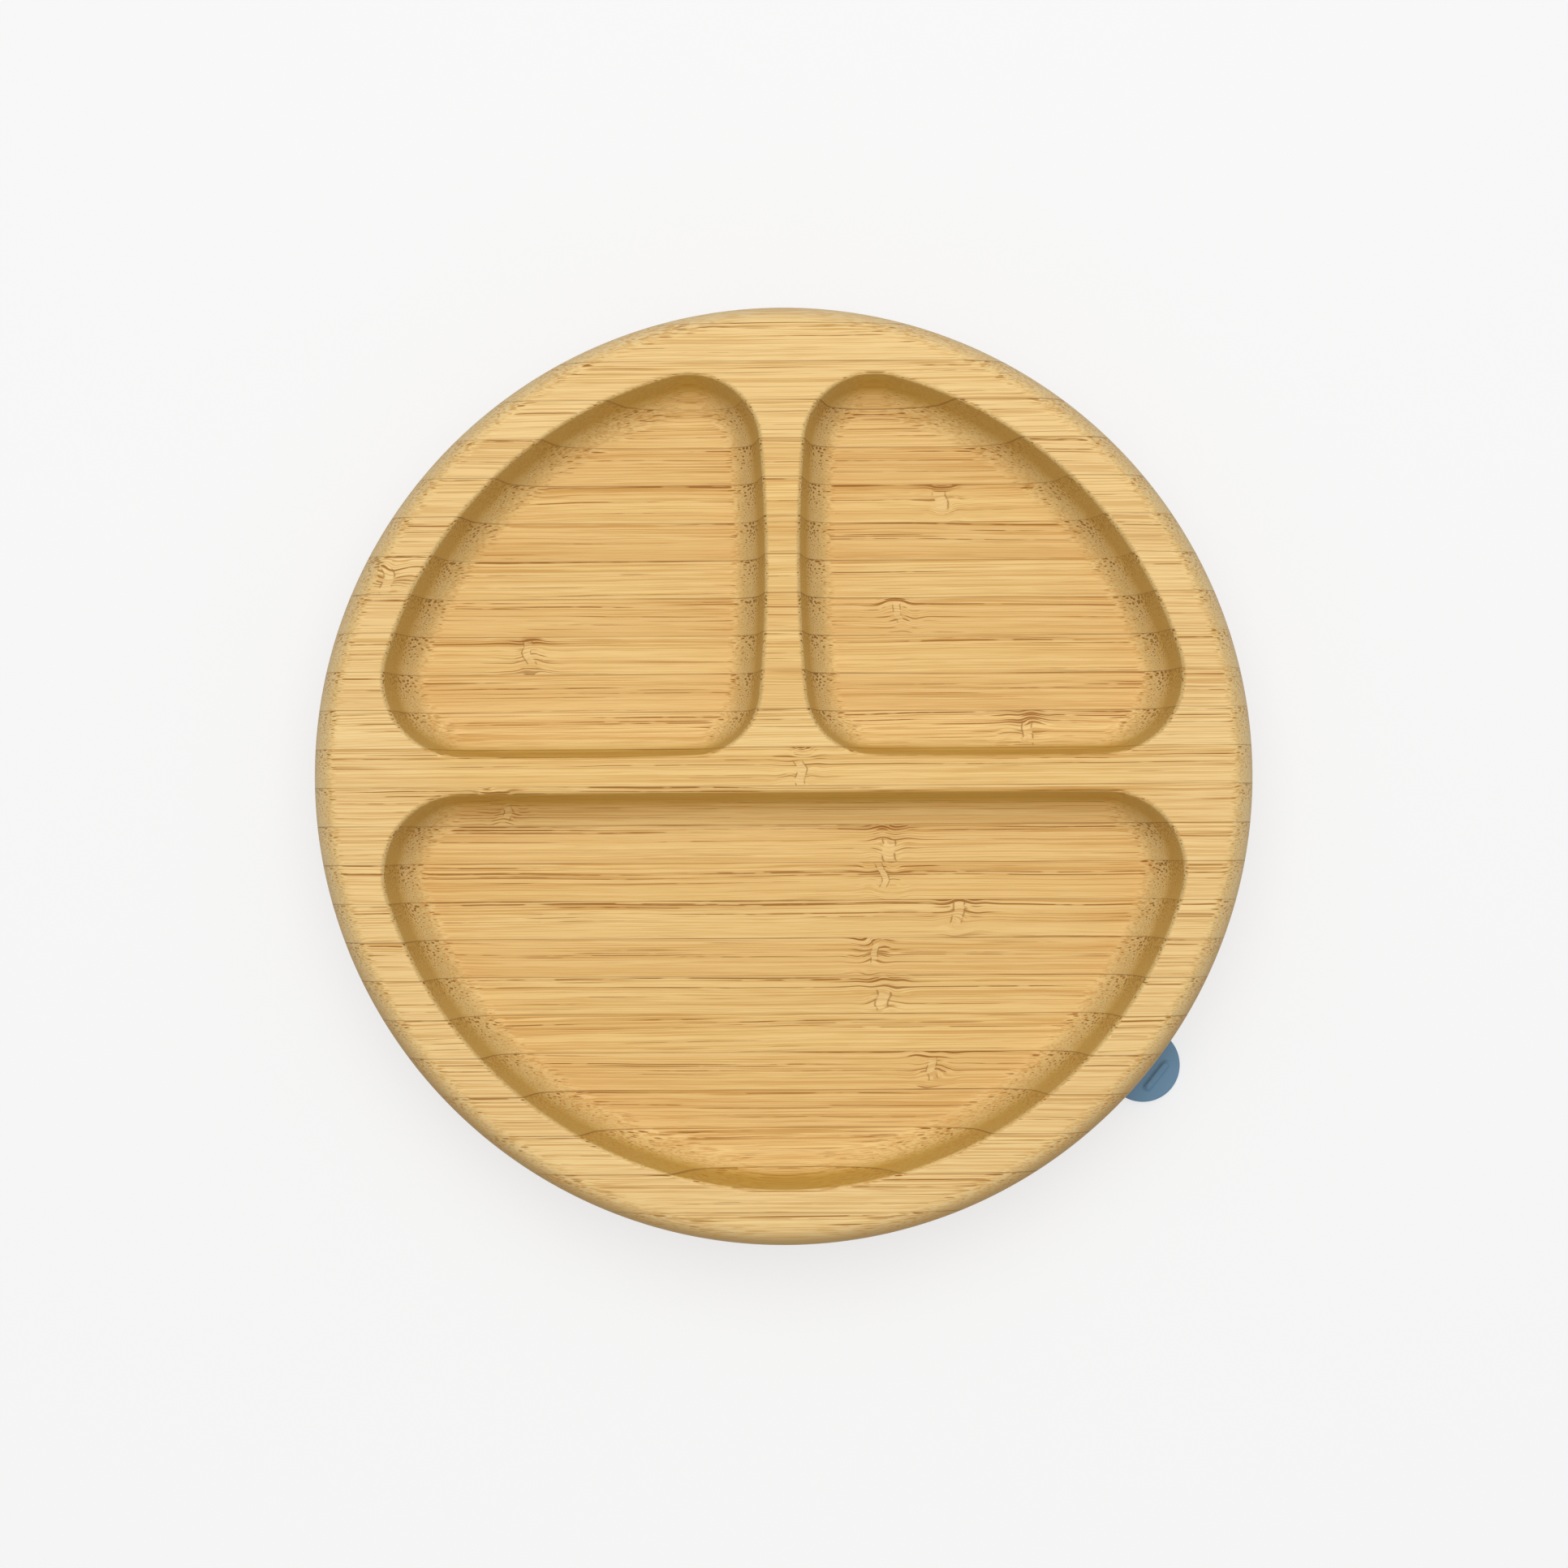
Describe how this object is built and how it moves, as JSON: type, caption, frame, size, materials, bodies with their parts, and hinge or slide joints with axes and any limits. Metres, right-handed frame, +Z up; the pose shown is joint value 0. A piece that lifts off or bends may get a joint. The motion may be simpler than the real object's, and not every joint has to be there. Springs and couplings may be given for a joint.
{
  "type": "baby suction plate",
  "caption": "Round divided bamboo plate glued up from laths, with food pockets, on a removable silicone suction ring with a pull tab that breaks the seal.",
  "frame": {"origin": "on the table under the middle of the plate", "axes": "+Z up; +Y towards the two small pockets; +X to the right of a person who sits at the large pocket; the pull tab lies at 39 degrees below +X"},
  "size_m": [0.18, 0.18, 0.0315],
  "materials": {
    "bamboo": "pale bamboo, oiled satin",
    "silicone": "matte blue-grey silicone"
  },
  "bodies": {
    "suction_skirt": {"suction_skirt": "silicone"},
    "suction_collar": {"suction_collar": "silicone"},
    "pull_tab": {"pull_tab": "silicone"},
    "plate": {"bamboo_lath_01": "bamboo", "bamboo_lath_02": "bamboo", "bamboo_lath_03": "bamboo", "bamboo_lath_04": "bamboo", "bamboo_lath_05": "bamboo", "bamboo_lath_06": "bamboo", "bamboo_lath_07": "bamboo", "bamboo_lath_08": "bamboo", "bamboo_lath_09": "bamboo", "bamboo_lath_10": "bamboo", "bamboo_lath_11": "bamboo", "bamboo_lath_12": "bamboo", "bamboo_lath_13": "bamboo", "bamboo_lath_14": "bamboo", "bamboo_lath_15": "bamboo", "bamboo_lath_16": "bamboo", "bamboo_lath_17": "bamboo", "bamboo_lath_18": "bamboo", "bamboo_lath_19": "bamboo", "bamboo_lath_20": "bamboo", "bamboo_lath_21": "bamboo", "bamboo_lath_22": "bamboo", "bamboo_lath_23": "bamboo", "bamboo_lath_24": "bamboo", "bamboo_lath_25": "bamboo"}
  },
  "joints": [
    {"name": "press_down", "type": "slide", "parent": "suction_skirt", "child": "suction_collar", "axis": [0, 0, 1], "range_m": [-0.0025, 0], "deforming": ["suction_skirt"]},
    {"name": "plate_lift", "type": "slide", "parent": "suction_collar", "child": "plate", "axis": [0, 0, 1], "range_m": [0, 0.03]},
    {"name": "tab_lift", "type": "hinge", "parent": "suction_skirt", "child": "pull_tab", "pos_m": [0.0483, -0.0391, 0.0014], "axis": [-0.6293, -0.7771, 0], "range_deg": [0, 14], "stiffness_Nm_per_rad": 0.004}
  ]
}
